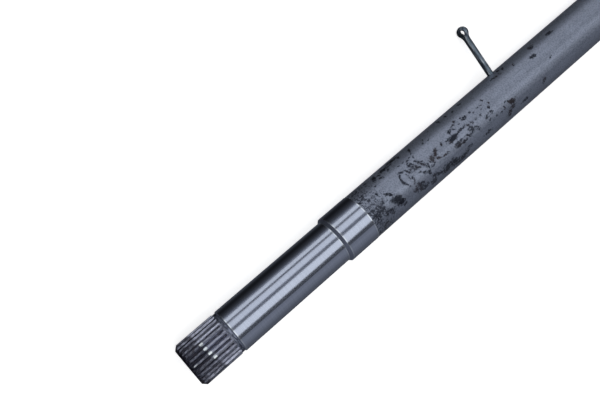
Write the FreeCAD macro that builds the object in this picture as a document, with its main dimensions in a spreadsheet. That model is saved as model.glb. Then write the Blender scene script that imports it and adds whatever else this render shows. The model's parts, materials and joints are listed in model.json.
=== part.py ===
"""Axle shaft: a splined and ground steel shaft with a split pin standing in its cross hole.

X runs along the shaft, from the splined end to the far end, and Z is up. The origin is on the
shaft's axis, where the ground journal meets the shoulder. Lengths are in millimetres.
"""

import FreeCAD, Part
import Sketcher
import math
import os

# Driving dimensions: name, value, what it is.
SIZES = [
    ("overall_length", 445.0, "splined end face to far end face"),
    ("spline_major_diameter", 29.64, "over the tooth crests"),
    ("spline_teeth", 25, "number of teeth"),
    ("spline_pressure_angle", 30.0, "flank angle at the pitch circle, degrees"),
    ("spline_root_allowance", 1.8, "pitch diameter less minor diameter, in modules"),
    ("spline_turn", 0.9, "a tooth space's turn from upright, towards the pin, degrees"),
    ("spline_length", 29.6, "end face to the relief behind the teeth"),
    ("spline_end_chamfer", 2.5, "45 degree lead-in on the end face"),
    ("run_out_angle", 28.0, "slope at which the tooth spaces rise to the relief, degrees"),
    ("crest_fall_length", 0.5, "over which the crests fall to the relief"),
    ("relief_width", 2.0, "relief between teeth and journal"),
    ("relief_below_crests", 0.5, "crest surface to the floor of the relief"),
    ("journal_over_crests", 0.36, "journal less spline, in diameter: a sleeve passes the teeth"),
    ("journal_length", 85.0, "relief to shoulder"),
    ("journal_chamfer", 0.6, "where the journal begins"),
    ("shoulder_length", 1.9, "length of the cone from journal to band"),
    ("shoulder_height", 1.75, "journal surface to band surface"),
    ("band_length", 21.9, "length of the ground band"),
    ("band_edge_radius", 0.35, "rounding where cone and band meet"),
    ("bar_below_band", 0.2, "band surface to the bar left as rolled"),
    ("far_end_chamfer", 1.5, "broken edge of the far end"),
    ("centre_pilot_diameter", 4.0, "drilled centre, pilot"),
    ("centre_mouth_diameter", 8.5, "drilled centre, mouth of the cone"),
    ("centre_cone_angle", 60.0, "drilled centre, full angle of the cone, degrees"),
    ("centre_depth", 9.0, "drilled centre, end face to the bottom of the pilot"),
    ("pin_hole_distance", 160.8, "shoulder to the axis of the cross hole"),
    ("pin_hole_diameter", 5.0, "cross hole, right through the bar"),
    ("pin_diameter", 4.6, "split pin, both legs together"),
    ("pin_leg_gap", 0.15, "between the flat faces of the legs"),
    ("pin_length", 56.0, "neck to the tip of the short leg"),
    ("pin_leg_difference", 2.5, "how much longer the other leg is"),
    ("pin_exposed_length", 38.8, "bar surface to the top of the eye"),
    ("eye_opening_diameter", 3.7, "inside of the eye"),
    ("eye_neck_radius", 9.5, "bend from the legs into the eye, on the flat faces"),
    ("eye_turn_angle", 56.0, "eye turned about the pin, away from square to the shaft, degrees"),
]

# Sizes that follow from the driving dimensions: name, property type, formula, what it is.
FOLLOWING = [
    ("pitch_radius", "App::PropertyLength",
     "Sizes.spline_major_diameter / 2 * Sizes.spline_teeth / (Sizes.spline_teeth + 1) * 1 mm",
     "pitch circle: one module inside the crests"),
    ("root_radius", "App::PropertyLength",
     "pitch_radius * (1 - Sizes.spline_root_allowance / Sizes.spline_teeth)",
     "bottom of the tooth spaces"),
    ("flank_radius", "App::PropertyLength",
     "pitch_radius * sin(Sizes.spline_pressure_angle * 1 deg)",
     "radius of the flank where it crosses the pitch circle"),
    ("flank_centre_angle", "App::PropertyAngle",
     "(90 / Sizes.spline_teeth + Sizes.spline_pressure_angle) * 1 deg",
     "from the middle of a tooth space to a flank's centre"),
    ("flank_centre_radius", "App::PropertyLength",
     "pitch_radius * cos(Sizes.spline_pressure_angle * 1 deg)",
     "base circle, on which the flank centres lie"),
    ("relief_radius", "App::PropertyLength",
     "(Sizes.spline_major_diameter / 2 - Sizes.relief_below_crests) * 1 mm",
     "floor of the relief"),
    ("run_out_radius", "App::PropertyLength",
     "root_radius * 0.95",
     "where the run-out's cone begins, below the tooth roots"),
    ("journal_radius", "App::PropertyLength",
     "(Sizes.spline_major_diameter + Sizes.journal_over_crests) / 2 * 1 mm",
     "ground journal"),
    ("band_radius", "App::PropertyLength",
     "journal_radius + Sizes.shoulder_height * 1 mm",
     "ground band behind the shoulder"),
    ("bar_radius", "App::PropertyLength",
     "band_radius - Sizes.bar_below_band * 1 mm",
     "bar left as rolled"),
    ("pin_radius", "App::PropertyLength",
     "Sizes.pin_diameter / 2 * 1 mm",
     "round side of a leg"),
    ("wire_thickness", "App::PropertyLength",
     "pin_radius - Sizes.pin_leg_gap / 2 * 1 mm",
     "flat side to round side of a leg"),
    ("eye_radius", "App::PropertyLength",
     "Sizes.eye_opening_diameter / 2 * 1 mm",
     "flat face of the eye"),
    ("eye_distance", "App::PropertyLength",
     "bar_radius + Sizes.pin_exposed_length * 1 mm - eye_radius - wire_thickness",
     "shaft axis to the middle of the eye"),
    ("eye_core_radius", "App::PropertyLength",
     "eye_radius - Sizes.pin_leg_gap / 2 * 1 mm",
     "circle about which the round side of the eye is struck"),
    ("rest_height", "App::PropertyLength",
     "max(band_radius; bar_radius)",
     "shaft axis above the surface that it lies on"),
    ("lean_square", "App::PropertyArea",
     "eye_distance ^ 2 - (eye_core_radius * cos(Sizes.eye_turn_angle * 1 deg)) ^ 2",
     "first term of the lean's quadratic"),
    ("lean_drop", "App::PropertyLength",
     "rest_height - pin_radius",
     "second term: how far the core of the eye lies below the axis"),
    ("lean_constant", "App::PropertyArea",
     "lean_drop ^ 2 - (eye_core_radius * sin(Sizes.eye_turn_angle * 1 deg)) ^ 2",
     "third term of the lean's quadratic"),
    ("pin_lean_angle", "App::PropertyAngle",
     "asin((lean_drop * eye_distance - sqrt(lean_drop ^ 2 * eye_distance ^ 2"
     " - lean_square * lean_constant)) / lean_square)",
     "pin below the horizontal, so that eye and shaft lie on one surface"),
    ("spline_start", "App::PropertyDistance",
     "-(Sizes.journal_length + Sizes.relief_width + Sizes.spline_length) * 1 mm",
     "splined end face"),
    ("far_end", "App::PropertyDistance",
     "spline_start + Sizes.overall_length * 1 mm",
     "far end face"),
]

# The sketcher's own numbers: for its two axes, for the points of a line or arc, and for its origin.
HORIZONTAL_AXIS, VERTICAL_AXIS = range(-1, -3, -1)
START, END, CENTRE = range(1, 4)
SKETCH_ORIGIN = (HORIZONTAL_AXIS, START)

LID_ABOVE_CRESTS = 1.0
SAME_PLACE = 1e-4


def fill_sheet(doc):
    """The driving dimensions, one row each: name, value, meaning."""
    sheet = doc.addObject("Spreadsheet::Sheet", "Sizes")
    for row, (name, value, meaning) in enumerate(SIZES, start=1):
        sheet.set(f"A{row}", name)
        sheet.set(f"B{row}", str(value))
        sheet.set(f"C{row}", meaning)
        sheet.setAlias(f"B{row}", name)
    doc.recompute()
    return sheet


def add_following_sizes(doc):
    """The sizes that follow from the sheet, each with its formula."""
    following = doc.addObject("App::VarSet", "Following")
    for name, kind, formula, meaning in FOLLOWING:
        following.addProperty(kind, name, "Following", meaning)
        following.setExpression(name, formula)
    doc.recompute()
    return following


def add_sketch(body, name, plane_role):
    """A sketch on one of the body's own origin planes."""
    sketch = body.newObject("Sketcher::SketchObject", name)
    plane = next(f for f in body.Origin.OriginFeatures if f.Role == plane_role)
    sketch.AttachmentSupport = [(plane, "")]
    sketch.MapMode = "FlatFace"
    return sketch


def draw_outline(sketch, corners):
    """A closed outline of straight lines. A line whose ends are level or upright is kept so."""
    vectors = [FreeCAD.Vector(x, y, 0) for x, y in corners]
    count = len(vectors)
    lines = []
    for start, end in zip(vectors, vectors[1:] + vectors[:1]):
        lines.append(sketch.addGeometry(Part.LineSegment(start, end), False))
    for line in range(count):
        following_line = lines[(line + 1) % count]
        sketch.addConstraint(
            Sketcher.Constraint("Coincident", lines[line], END, following_line, START))
        run = vectors[(line + 1) % count] - vectors[line]
        if abs(run.y) < SAME_PLACE:
            sketch.addConstraint(Sketcher.Constraint("Horizontal", lines[line]))
        elif abs(run.x) < SAME_PLACE:
            sketch.addConstraint(Sketcher.Constraint("Vertical", lines[line]))
    return lines


def dimension(sketch, name, formula, kind, *where):
    """A named dimension whose value follows a formula."""
    number = sketch.addConstraint(Sketcher.Constraint(kind, *where))
    sketch.renameConstraint(number, name)
    sketch.setExpression(f"Constraints.{name}", formula)
    return number


def circle_edges(shape, x, radius):
    """Names of the round edges of that radius about the shaft's axis, at station x."""
    names = []
    for number, edge in enumerate(shape.Edges, start=1):
        if not isinstance(edge.Curve, Part.Circle):
            continue
        at_station = abs(edge.Curve.Center.x - x) < SAME_PLACE
        if at_station and abs(edge.Curve.Radius - radius) < SAME_PLACE:
            names.append(f"Edge{number}")
    return names


def draw_shaft_profile(body, sizes, following):
    """Half section of the turned shaft: spline blank, relief, journal, cone, band and bar."""
    sketch = add_sketch(body, "shaft_profile", "XZ_Plane")
    crest = sizes.spline_major_diameter / 2
    relief = following.relief_radius.Value
    journal = following.journal_radius.Value
    band = following.band_radius.Value
    bar = following.bar_radius.Value
    face = following.spline_start.Value
    relief_start = -(sizes.journal_length + sizes.relief_width)
    band_end = sizes.shoulder_length + sizes.band_length
    far_end = following.far_end.Value
    crest_end = relief_start - sizes.crest_fall_length
    (end_face, spline, crest_fall, floor, journal_face, journal_run, cone,
     band_run, band_back, bar_run, far_face, axis) = draw_outline(sketch, [
         (face, 0), (face, crest), (crest_end, crest), (relief_start, relief),
         (-sizes.journal_length, relief), (-sizes.journal_length, journal), (0, journal),
         (sizes.shoulder_length, band), (band_end, band), (band_end, bar),
         (far_end, bar), (far_end, 0)])
    sketch.addConstraint(
        Sketcher.Constraint("PointOnObject", end_face, START, HORIZONTAL_AXIS))
    sketch.addConstraint(
        Sketcher.Constraint("Vertical", journal_run, END, *SKETCH_ORIGIN))
    lengths = [
        ("overall_length", axis, END, START, "Sizes.overall_length"),
        ("crest_fall_length", crest_fall, START, END, "Sizes.crest_fall_length"),
        ("relief_width", floor, START, END, "Sizes.relief_width"),
        ("journal_length", journal_run, START, END, "Sizes.journal_length"),
        ("shoulder_length", cone, START, END, "Sizes.shoulder_length"),
        ("band_length", band_run, START, END, "Sizes.band_length"),
    ]
    for name, line, first, second, formula in lengths:
        value = sizes.getPropertyByName(name)
        dimension(sketch, name, formula, "DistanceX", line, first, line, second, value)
    dimension(sketch, "spline_length", "Sizes.spline_length", "DistanceX",
              spline, START, floor, START, sizes.spline_length)
    radii = [
        ("crest_radius", spline, "Sizes.spline_major_diameter / 2", crest),
        ("relief_radius", floor, "Following.relief_radius", relief),
        ("journal_radius", journal_run, "Following.journal_radius", journal),
        ("band_radius", band_run, "Following.band_radius", band),
        ("bar_radius", bar_run, "Following.bar_radius", bar),
    ]
    for name, line, formula, value in radii:
        dimension(sketch, name, formula, "DistanceY", *SKETCH_ORIGIN, line, START, value)
    return sketch


def turn_shaft(doc, body, sizes, following):
    """The turned blank, with its broken edges."""
    profile = draw_shaft_profile(body, sizes, following)
    turned = body.newObject("PartDesign::Revolution", "turned_blank")
    turned.Profile = profile
    turned.ReferenceAxis = (profile, ["H_Axis"])
    turned.Angle = 360
    doc.recompute()
    crest = sizes.spline_major_diameter / 2
    edge_breaks = [
        ("spline_end_chamfer", following.spline_start.Value, crest),
        ("journal_chamfer", -sizes.journal_length, following.journal_radius.Value),
        ("far_end_chamfer", following.far_end.Value, following.bar_radius.Value),
    ]
    feature = turned
    for name, x, radius in edge_breaks:
        chamfer = body.newObject("PartDesign::Chamfer", name)
        chamfer.Base = (feature, circle_edges(feature.Shape, x, radius))
        chamfer.setExpression("Size", f"Sizes.{name}")
        doc.recompute()
        feature = chamfer
    rounding = body.newObject("PartDesign::Fillet", "band_edge_rounding")
    band_edge = circle_edges(feature.Shape, sizes.shoulder_length, following.band_radius.Value)
    rounding.Base = (feature, band_edge)
    rounding.setExpression("Radius", "Sizes.band_edge_radius")
    doc.recompute()


def draw_tooth_space(body, sizes, following):
    """One space between teeth: two bowed flanks, a round root and a lid outside the crests."""
    sketch = add_sketch(body, "tooth_space", "YZ_Plane")
    sketch.AttachmentOffset = FreeCAD.Placement(
        FreeCAD.Vector(0, 0, 0), FreeCAD.Rotation(FreeCAD.Vector(0, 0, 1), -1))
    sketch.setExpression("AttachmentOffset.Rotation.Angle", "-Sizes.spline_turn * 1 deg")
    sketch.setExpression("AttachmentOffset.Base.z", "Following.spline_start")
    angle = math.radians(following.flank_centre_angle.Value)
    base = following.flank_centre_radius.Value
    flank = following.flank_radius.Value
    root = following.root_radius.Value
    across, height = base * math.sin(angle), base * math.cos(angle)
    reach = flank - root
    root_centre = (base ** 2 - reach ** 2) / (2 * (height + reach))
    root_radius = root_centre - root
    lid = sizes.spline_major_diameter / 2 + LID_ABOVE_CRESTS
    rise = math.asin((lid - height) / flank)
    touch = math.atan2(root_centre - height, across)
    origin = FreeCAD.Vector(0, 0, 1)
    circles = [
        (FreeCAD.Vector(-across, height, 0), flank, touch, rise),
        (FreeCAD.Vector(across, height, 0), flank, math.pi - rise, math.pi - touch),
        (FreeCAD.Vector(0, root_centre, 0), root_radius, math.pi + touch, 2 * math.pi - touch),
    ]
    left, right, bottom = [
        sketch.addGeometry(Part.ArcOfCircle(Part.Circle(centre, origin, radius), first, last),
                           False)
        for centre, radius, first, last in circles]
    half_lid = across - flank * math.cos(rise)
    top = sketch.addGeometry(
        Part.LineSegment(FreeCAD.Vector(-half_lid, lid, 0), FreeCAD.Vector(half_lid, lid, 0)),
        False)
    lowest = sketch.addGeometry(Part.Point(FreeCAD.Vector(0, root, 0)), True)
    for rule in [
            ("Tangent", bottom, START, left, START),
            ("Tangent", bottom, END, right, END),
            ("Coincident", left, END, top, START),
            ("Coincident", right, START, top, END),
            ("Horizontal", top),
            ("Equal", left, right),
            ("Symmetric", left, CENTRE, right, CENTRE, VERTICAL_AXIS),
            ("PointOnObject", lowest, START, VERTICAL_AXIS),
            ("PointOnObject", lowest, START, bottom)]:
        sketch.addConstraint(Sketcher.Constraint(*rule))
    dimension(sketch, "flank_radius", "Following.flank_radius", "Radius", left, flank)
    dimension(sketch, "flank_centre_across",
              "Following.flank_centre_radius * sin(Following.flank_centre_angle)",
              "DistanceX", *SKETCH_ORIGIN, right, CENTRE, across)
    dimension(sketch, "flank_centre_height",
              "Following.flank_centre_radius * cos(Following.flank_centre_angle)",
              "DistanceY", *SKETCH_ORIGIN, right, CENTRE, height)
    dimension(sketch, "root_height", "Following.root_radius",
              "DistanceY", *SKETCH_ORIGIN, lowest, START, root)
    dimension(sketch, "lid_height",
              f"(Sizes.spline_major_diameter / 2 + {LID_ABOVE_CRESTS}) * 1 mm",
              "DistanceY", *SKETCH_ORIGIN, top, START, lid)
    return sketch


def cut_spline(doc, body, sizes, following):
    """One tooth space, milled from the end face to the relief, repeated round the shaft."""
    space = body.newObject("PartDesign::Pocket", "tooth_space_cut")
    space.Profile = draw_tooth_space(body, sizes, following)
    space.Type = "Length"
    space.setExpression("Length", "Sizes.spline_length")
    space.Reversed = True
    doc.recompute()
    spaces = body.newObject("PartDesign::PolarPattern", "tooth_spaces")
    spaces.Originals = [space]
    spaces.Axis = (next(f for f in body.Origin.OriginFeatures if f.Role == "X_Axis"), [""])
    spaces.Angle = 360
    spaces.setExpression("Occurrences", "Sizes.spline_teeth")
    body.Tip = spaces
    doc.recompute()


def raise_run_out(doc, body, sizes, following):
    """The slope on which the cutter left each tooth space, up to the relief's floor."""
    sketch = add_sketch(body, "run_out_section", "XZ_Plane")
    end = -(sizes.journal_length + sizes.relief_width)
    relief = following.relief_radius.Value
    inner = following.run_out_radius.Value
    length = (relief - inner) / math.tan(math.radians(sizes.run_out_angle))
    slope, back, inside = draw_outline(sketch, [(end - length, inner), (end, relief), (end, inner)])
    dimension(sketch, "end_station", "-(Sizes.journal_length + Sizes.relief_width) * 1 mm",
              "DistanceX", *SKETCH_ORIGIN, back, START, end)
    dimension(sketch, "relief_radius", "Following.relief_radius",
              "DistanceY", *SKETCH_ORIGIN, back, START, relief)
    dimension(sketch, "run_out_radius", "Following.run_out_radius",
              "DistanceY", *SKETCH_ORIGIN, back, END, inner)
    dimension(sketch, "run_out_length",
              "(Following.relief_radius - Following.run_out_radius)"
              " / tan(Sizes.run_out_angle * 1 deg)",
              "DistanceX", slope, START, slope, END, length)
    run_out = body.newObject("PartDesign::Revolution", "run_out")
    run_out.Profile = sketch
    run_out.ReferenceAxis = (sketch, ["H_Axis"])
    run_out.Angle = 360
    doc.recompute()


def add_groove(doc, body, sketch, name):
    """Cuts a section away all round the shaft's axis."""
    groove = body.newObject("PartDesign::Groove", name)
    groove.Profile = sketch
    groove.ReferenceAxis = (sketch, ["H_Axis"])
    groove.Angle = 360
    doc.recompute()
    return groove


def drill_centre(doc, body, sizes, following, name, face, inward):
    """A drilled centre in an end face: a cone that the lathe's point runs in, and its pilot."""
    sketch = add_sketch(body, name + "_section", "XZ_Plane")
    face_x = following.getPropertyByName(face).Value
    mouth = sizes.centre_mouth_diameter / 2
    pilot = sizes.centre_pilot_diameter / 2
    cone_length = (mouth - pilot) / math.tan(math.radians(sizes.centre_cone_angle / 2))
    cone_end = face_x + inward * cone_length
    bottom = face_x + inward * sizes.centre_depth
    mouth_line, cone, pilot_run, end, axis = draw_outline(sketch, [
        (face_x, 0), (face_x, mouth), (cone_end, pilot), (bottom, pilot), (bottom, 0)])
    sketch.addConstraint(
        Sketcher.Constraint("PointOnObject", mouth_line, START, HORIZONTAL_AXIS))
    dimension(sketch, "face_station", f"Following.{face}",
              "DistanceX", *SKETCH_ORIGIN, mouth_line, START, face_x)
    dimension(sketch, "mouth_radius", "Sizes.centre_mouth_diameter / 2",
              "DistanceY", *SKETCH_ORIGIN, cone, START, mouth)
    dimension(sketch, "pilot_radius", "Sizes.centre_pilot_diameter / 2",
              "DistanceY", *SKETCH_ORIGIN, pilot_run, START, pilot)
    cone_formula = ("(Sizes.centre_mouth_diameter - Sizes.centre_pilot_diameter) / 2"
                    " / tan(Sizes.centre_cone_angle / 2 * 1 deg)")
    inwards = (START, END) if inward > 0 else (END, START)
    outwards = inwards[::-1]
    dimension(sketch, "cone_length", cone_formula, "DistanceX",
              cone, inwards[0], cone, inwards[1], cone_length)
    dimension(sketch, "depth", "Sizes.centre_depth", "DistanceX",
              axis, outwards[0], axis, outwards[1], sizes.centre_depth)
    add_groove(doc, body, sketch, name)


def drill_pin_hole(doc, body, sizes, following):
    """The cross hole, right through the bar along the line of the pin."""
    sketch = add_sketch(body, "pin_hole_section", "XY_Plane")
    sketch.AttachmentOffset = FreeCAD.Placement(
        FreeCAD.Vector(0, 0, 0), FreeCAD.Rotation(FreeCAD.Vector(1, 0, 0), -90))
    sketch.setExpression("AttachmentOffset.Rotation.Angle", "-(90 deg + Following.pin_lean_angle)")
    centre = FreeCAD.Vector(sizes.pin_hole_distance, 0, 0)
    circle = sketch.addGeometry(
        Part.Circle(centre, FreeCAD.Vector(0, 0, 1), sizes.pin_hole_diameter / 2), False)
    sketch.addConstraint(
        Sketcher.Constraint("PointOnObject", circle, CENTRE, HORIZONTAL_AXIS))
    dimension(sketch, "station", "Sizes.pin_hole_distance",
              "DistanceX", *SKETCH_ORIGIN, circle, CENTRE, sizes.pin_hole_distance)
    dimension(sketch, "diameter", "Sizes.pin_hole_diameter",
              "Diameter", circle, sizes.pin_hole_diameter)
    hole = body.newObject("PartDesign::Pocket", "pin_hole")
    hole.Profile = sketch
    hole.Type = "ThroughAll"
    hole.SideType = "Symmetric"
    doc.recompute()


def make_axle_shaft(doc, sizes, following):
    """The shaft, turned from one bar."""
    body = doc.addObject("PartDesign::Body", "axle_shaft")
    body.Label = "axle_shaft"
    turn_shaft(doc, body, sizes, following)
    cut_spline(doc, body, sizes, following)
    raise_run_out(doc, body, sizes, following)
    drill_centre(doc, body, sizes, following, "spline_end_centre", "spline_start", 1)
    drill_centre(doc, body, sizes, following, "far_end_centre", "far_end", -1)
    drill_pin_hole(doc, body, sizes, following)
    return body


def draw_leg_section(body, sizes, following):
    """Section of the pin's wire: a little less than half round, flat side to the middle."""
    sketch = add_sketch(body, "leg_section", "XY_Plane")
    half_gap = sizes.pin_leg_gap / 2
    radius = following.pin_radius.Value
    half_angle = math.acos(half_gap / radius)
    half_flat = radius * math.sin(half_angle)
    origin = FreeCAD.Vector(0, 0, 0)
    arc = sketch.addGeometry(
        Part.ArcOfCircle(Part.Circle(origin, FreeCAD.Vector(0, 0, 1), radius),
                         -half_angle, half_angle), False)
    flat = sketch.addGeometry(
        Part.LineSegment(FreeCAD.Vector(half_gap, half_flat, 0),
                         FreeCAD.Vector(half_gap, -half_flat, 0)), False)
    for rule in [
            ("Coincident", arc, CENTRE, *SKETCH_ORIGIN),
            ("Coincident", arc, END, flat, START),
            ("Coincident", flat, END, arc, START),
            ("Vertical", flat)]:
        sketch.addConstraint(Sketcher.Constraint(*rule))
    dimension(sketch, "round_radius", "Following.pin_radius", "Radius", arc, radius)
    dimension(sketch, "half_gap", "Sizes.pin_leg_gap / 2",
              "DistanceX", *SKETCH_ORIGIN, flat, START, half_gap)
    return sketch


def draw_pin_line(body, sizes, following):
    """Line of the wire's flat face: up one leg, round the eye and down the other leg."""
    sketch = add_sketch(body, "pin_line", "XZ_Plane")
    half_gap = sizes.pin_leg_gap / 2
    neck = sizes.eye_neck_radius
    eye = following.eye_radius.Value
    eye_height = following.eye_distance.Value
    neck_centre = half_gap + neck
    rise = math.sqrt((neck + eye) ** 2 - neck_centre ** 2)
    slope = math.asin(rise / (neck + eye))
    neck_height = eye_height - rise
    short_tip = neck_height - sizes.pin_length
    normal = FreeCAD.Vector(0, 0, 1)
    long_tip = short_tip - sizes.pin_leg_difference
    curves = [
        Part.LineSegment(FreeCAD.Vector(half_gap, short_tip, 0),
                         FreeCAD.Vector(half_gap, neck_height, 0)),
        Part.ArcOfCircle(Part.Circle(FreeCAD.Vector(neck_centre, neck_height, 0), normal, neck),
                         math.pi - slope, math.pi),
        Part.ArcOfCircle(Part.Circle(FreeCAD.Vector(0, eye_height, 0), normal, eye),
                         -slope, math.pi + slope),
        Part.ArcOfCircle(Part.Circle(FreeCAD.Vector(-neck_centre, neck_height, 0), normal, neck),
                         0, slope),
        Part.LineSegment(FreeCAD.Vector(-half_gap, neck_height, 0),
                         FreeCAD.Vector(-half_gap, long_tip, 0)),
    ]
    short_leg, near_neck, eye_loop, far_neck, long_leg = [
        sketch.addGeometry(curve, False) for curve in curves]
    for rule in [
            ("Tangent", short_leg, END, near_neck, END),
            ("Tangent", near_neck, START, eye_loop, START),
            ("Tangent", eye_loop, END, far_neck, END),
            ("Tangent", far_neck, START, long_leg, START),
            ("Vertical", short_leg),
            ("Vertical", long_leg),
            ("Symmetric", short_leg, END, long_leg, START, VERTICAL_AXIS),
            ("PointOnObject", eye_loop, CENTRE, VERTICAL_AXIS)]:
        sketch.addConstraint(Sketcher.Constraint(*rule))
    dimension(sketch, "eye_radius", "Following.eye_radius", "Radius", eye_loop, eye)
    dimension(sketch, "neck_radius", "Sizes.eye_neck_radius", "Radius", near_neck, neck)
    dimension(sketch, "eye_height", "Following.eye_distance",
              "DistanceY", *SKETCH_ORIGIN, eye_loop, CENTRE, eye_height)
    dimension(sketch, "half_gap", "Sizes.pin_leg_gap / 2",
              "DistanceX", *SKETCH_ORIGIN, short_leg, END, half_gap)
    dimension(sketch, "short_leg", "Sizes.pin_length",
              "DistanceY", short_leg, START, short_leg, END, sizes.pin_length)
    dimension(sketch, "long_leg", "Sizes.pin_length + Sizes.pin_leg_difference",
              "DistanceY", long_leg, END, long_leg, START,
              sizes.pin_length + sizes.pin_leg_difference)
    return sketch, short_tip


def make_split_pin(doc, sizes, following):
    """The split pin: one half-round wire bent back on itself, with an eye at the bend.

    Its own Z axis is the pin's line, outwards from the shaft's axis, and its eye lies in X and Z.
    """
    body = doc.addObject("PartDesign::Body", "split_pin")
    body.Label = "split_pin"
    line, short_tip = draw_pin_line(body, sizes, following)
    section = draw_leg_section(body, sizes, following)
    section.AttachmentOffset = FreeCAD.Placement(
        FreeCAD.Vector(0, 0, short_tip), FreeCAD.Rotation())
    section.setExpression(
        "AttachmentOffset.Base.z",
        "Following.eye_distance - Sizes.pin_length * 1 mm"
        " - sqrt((Sizes.eye_neck_radius * 1 mm + Following.eye_radius) ^ 2"
        " - ((Sizes.eye_neck_radius + Sizes.pin_leg_gap / 2) * 1 mm) ^ 2)")
    doc.recompute()
    wire = body.newObject("PartDesign::AdditivePipe", "bent_wire")
    wire.Profile = section
    wire.Spine = (line, [f"Edge{number + 1}" for number in range(len(line.Shape.Edges))])
    wire.Mode = "Standard"
    wire.Transition = "Transformed"
    body.setExpression(
        "Placement",
        "placement(vector(Sizes.pin_hole_distance; 0; 0);"
        " rotation(vector(1; 0; 0); -(90 + Following.pin_lean_angle / 1 deg))"
        " * rotation(vector(0; 0; 1); -Sizes.eye_turn_angle))")
    doc.recompute()
    return body


def check_document(doc, bodies):
    """Stops if a feature failed, a sketch is loose, or a body isn't one closed solid."""
    for item in doc.Objects:
        if "Invalid" in item.State or "Error" in item.State:
            raise RuntimeError(f"{item.Label} failed: {item.State}")
        if item.TypeId == "Sketcher::SketchObject" and not item.FullyConstrained:
            raise RuntimeError(f"sketch {item.Label} isn't fully constrained")
    for body in bodies:
        shape = body.Shape
        if shape.isNull() or not shape.isValid() or len(shape.Solids) != 1:
            raise RuntimeError(f"{body.Label} isn't one valid solid")


def write_parts(bodies):
    """One STEP file for each piece, in place."""
    os.makedirs("parts", exist_ok=True)
    for body in bodies:
        body.Shape.exportStep(f"parts/{body.Label}.step")
        box = body.Shape.optimalBoundingBox(False)
        print(f"{body.Label}: {body.Shape.Volume:.1f} mm3, x {box.XMin:.2f} to {box.XMax:.2f},"
              f" y {box.YMin:.2f} to {box.YMax:.2f}, z {box.ZMin:.2f} to {box.ZMax:.2f}")


def main():
    doc = FreeCAD.newDocument("AxleShaft")
    sizes = fill_sheet(doc)
    following = add_following_sizes(doc)
    bodies = [make_axle_shaft(doc, sizes, following), make_split_pin(doc, sizes, following)]
    doc.recompute()
    check_document(doc, bodies)
    write_parts(bodies)


main()
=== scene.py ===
"""Axle shaft: the finishes of the shaft and its split pin, and the studio that they lie in.

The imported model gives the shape, and nothing here changes it. Everything is in its frame: X along
the shaft from the splined end, Z up, origin on the shaft's axis where the journal meets the
shoulder. Lengths in the properties are in metres; patterns are worked out in millimetres of the
real part. Degrees about the shaft are counted from +Y, where the pin is, towards +Z, the top.
"""

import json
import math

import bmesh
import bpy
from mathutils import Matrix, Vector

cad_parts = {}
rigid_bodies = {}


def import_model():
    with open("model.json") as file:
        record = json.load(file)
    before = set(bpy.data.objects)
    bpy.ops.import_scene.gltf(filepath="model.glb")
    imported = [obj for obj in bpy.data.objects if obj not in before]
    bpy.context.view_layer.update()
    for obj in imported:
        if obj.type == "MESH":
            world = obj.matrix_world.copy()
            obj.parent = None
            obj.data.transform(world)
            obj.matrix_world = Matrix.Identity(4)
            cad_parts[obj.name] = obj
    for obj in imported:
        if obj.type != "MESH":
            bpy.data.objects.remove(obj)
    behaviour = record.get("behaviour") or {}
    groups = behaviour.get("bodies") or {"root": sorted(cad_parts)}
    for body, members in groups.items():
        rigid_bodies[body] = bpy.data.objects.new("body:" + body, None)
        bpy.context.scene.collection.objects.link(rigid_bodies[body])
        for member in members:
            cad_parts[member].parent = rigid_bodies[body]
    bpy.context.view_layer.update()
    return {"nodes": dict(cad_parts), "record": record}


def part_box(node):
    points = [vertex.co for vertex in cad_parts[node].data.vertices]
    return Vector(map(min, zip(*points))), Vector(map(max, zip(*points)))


bl_info = {
    "name": "Axle Shaft Finishes",
    "version": (1, 0, 0),
    "blender": (4, 5, 0),
    "location": "View3D > Sidebar > Axle",
    "description": "Steel finishes and a studio for a splined axle shaft",
    "category": "Object",
}

MM = 0.001

for leftover in list(bpy.data.objects):
    bpy.data.objects.remove(leftover)
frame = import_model()
SHAFT = frame["nodes"]["axle_shaft"]
PIN = frame["nodes"]["split_pin"]
MOUNTS = {mount["name"]: mount for mount in frame["record"]["mounts"]}

# Stations along the shaft and radii, in millimetres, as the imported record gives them. The radius at
# the roots of the teeth is half of what the spline's note says.
SPLINED_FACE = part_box("axle_shaft")[0].x / MM
FAR_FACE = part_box("axle_shaft")[1].x / MM
TEETH_END = SPLINED_FACE + MOUNTS["spline"]["dims"]["length_mm"]
CREST_RADIUS = MOUNTS["spline"]["dims"]["r_mm"]
JOURNAL_START = -MOUNTS["journal"]["dims"]["length_mm"]
ROOT_RADIUS = 13.224
BAND_MIDDLE = MOUNTS["shoulder_band"]["pos_m"][0] / MM
BAND_HALF = MOUNTS["shoulder_band"]["dims"]["length_mm"] / 2
BAND_RADIUS = MOUNTS["shoulder_band"]["dims"]["r_mm"]
BAND_START = BAND_MIDDLE - BAND_HALF
BAND_END = BAND_MIDDLE + BAND_HALF
FLOOR_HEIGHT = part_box("axle_shaft")[0].z

# How far the pin points down from level.
PIN_LEAN = math.radians(14.6)

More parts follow.
